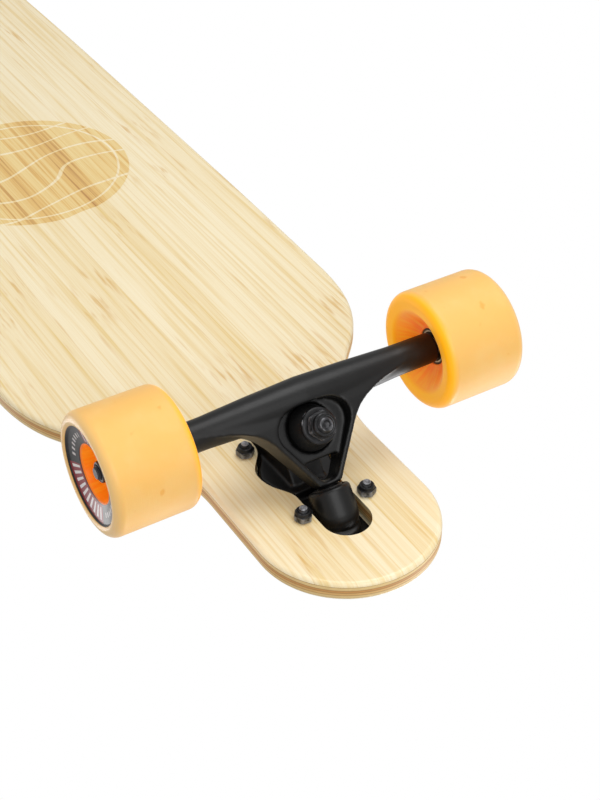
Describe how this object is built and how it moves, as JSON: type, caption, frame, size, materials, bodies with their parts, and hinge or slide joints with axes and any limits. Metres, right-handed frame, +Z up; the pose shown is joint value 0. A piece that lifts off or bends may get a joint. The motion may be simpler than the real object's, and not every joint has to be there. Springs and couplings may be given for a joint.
{
  "type": "longboard skateboard",
  "caption": "Drop-through longboard: a long flat bamboo deck with necked ends, two sprung reverse-kingpin trucks that lean to steer, and soft urethane wheels on bearings.",
  "frame": {"origin": "on the ground, midway between the deck's two ends and on its centre line", "axes": "+X along the deck to the nose, +Y to the left of a rider who faces the nose, +Z up"},
  "size_m": [1.05, 0.257, 0.1066],
  "materials": {
    "bamboo_veneer": "satin lacquer",
    "bamboo_core": "satin lacquer on a sanded edge",
    "grip_tape": "coarse black grit",
    "cast_alloy": "satin black coating",
    "black_steel": "black oxide",
    "bright_steel": "bright zinc",
    "bushing_rubber": "satin",
    "urethane": "matte tread and glossy faces"
  },
  "bodies": {
    "root": {"deck_bottom_veneer": "bamboo_veneer", "deck_core": "bamboo_core", "deck_top_veneer": "bamboo_veneer", "grip_tape": "grip_tape", "front_baseplate": "cast_alloy", "front_pivot_cup": "bushing_rubber", "front_kingpin": "black_steel", "front_kingpin_nut": "black_steel", "front_roadside_washer": "black_steel", "front_boardside_washer": "black_steel", "front_roadside_bushing": "bushing_rubber", "front_boardside_bushing": "bushing_rubber", "front_mounting_bolt_1": "black_steel", "front_mounting_nut_1": "black_steel", "front_mounting_bolt_2": "black_steel", "front_mounting_nut_2": "black_steel", "front_mounting_bolt_3": "black_steel", "front_mounting_nut_3": "black_steel", "front_mounting_bolt_4": "black_steel", "front_mounting_nut_4": "black_steel", "rear_baseplate": "cast_alloy", "rear_pivot_cup": "bushing_rubber", "rear_kingpin": "black_steel", "rear_kingpin_nut": "black_steel", "rear_roadside_washer": "black_steel", "rear_boardside_washer": "black_steel", "rear_roadside_bushing": "bushing_rubber", "rear_boardside_bushing": "bushing_rubber", "rear_mounting_bolt_1": "black_steel", "rear_mounting_nut_1": "black_steel", "rear_mounting_bolt_2": "black_steel", "rear_mounting_nut_2": "black_steel", "rear_mounting_bolt_3": "black_steel", "rear_mounting_nut_3": "black_steel", "rear_mounting_bolt_4": "black_steel", "rear_mounting_nut_4": "black_steel"},
    "front_hanger_body": {"front_hanger": "cast_alloy", "front_axle": "bright_steel", "front_right_bearing_sleeve": "bright_steel", "front_right_axle_nut": "bright_steel", "front_left_bearing_sleeve": "bright_steel", "front_left_axle_nut": "bright_steel"},
    "front_right_wheel_body": {"front_right_wheel": "urethane", "front_right_inboard_bearing": "bright_steel", "front_right_outboard_bearing": "bright_steel"},
    "front_left_wheel_body": {"front_left_wheel": "urethane", "front_left_inboard_bearing": "bright_steel", "front_left_outboard_bearing": "bright_steel"},
    "rear_hanger_body": {"rear_hanger": "cast_alloy", "rear_axle": "bright_steel", "rear_right_bearing_sleeve": "bright_steel", "rear_right_axle_nut": "bright_steel", "rear_left_bearing_sleeve": "bright_steel", "rear_left_axle_nut": "bright_steel"},
    "rear_right_wheel_body": {"rear_right_wheel": "urethane", "rear_right_inboard_bearing": "bright_steel", "rear_right_outboard_bearing": "bright_steel"},
    "rear_left_wheel_body": {"rear_left_wheel": "urethane", "rear_left_inboard_bearing": "bright_steel", "rear_left_outboard_bearing": "bright_steel"}
  },
  "joints": [
    {"name": "front_lean", "type": "hinge", "parent": "root", "child": "front_hanger_body", "pos_m": [0.43174, 0, 0.052], "axis": [0.6428, 0, 0.766], "range_deg": [-20, 20], "stiffness_Nm_per_rad": 40, "deforming": ["front_roadside_bushing", "front_boardside_bushing"]},
    {"name": "front_right_wheel_spin", "type": "hinge", "parent": "front_hanger_body", "child": "front_right_wheel_body", "pos_m": [0.424, -0.103, 0.035], "axis": [0, 1, 0], "continuous": true},
    {"name": "front_left_wheel_spin", "type": "hinge", "parent": "front_hanger_body", "child": "front_left_wheel_body", "pos_m": [0.424, 0.103, 0.035], "axis": [0, 1, 0], "continuous": true},
    {"name": "rear_lean", "type": "hinge", "parent": "root", "child": "rear_hanger_body", "pos_m": [-0.43174, 0, 0.052], "axis": [-0.6428, 0, 0.766], "range_deg": [-20, 20], "stiffness_Nm_per_rad": 40, "deforming": ["rear_roadside_bushing", "rear_boardside_bushing"]},
    {"name": "rear_right_wheel_spin", "type": "hinge", "parent": "rear_hanger_body", "child": "rear_right_wheel_body", "pos_m": [-0.424, -0.103, 0.035], "axis": [0, 1, 0], "continuous": true},
    {"name": "rear_left_wheel_spin", "type": "hinge", "parent": "rear_hanger_body", "child": "rear_left_wheel_body", "pos_m": [-0.424, 0.103, 0.035], "axis": [0, 1, 0], "continuous": true}
  ]
}
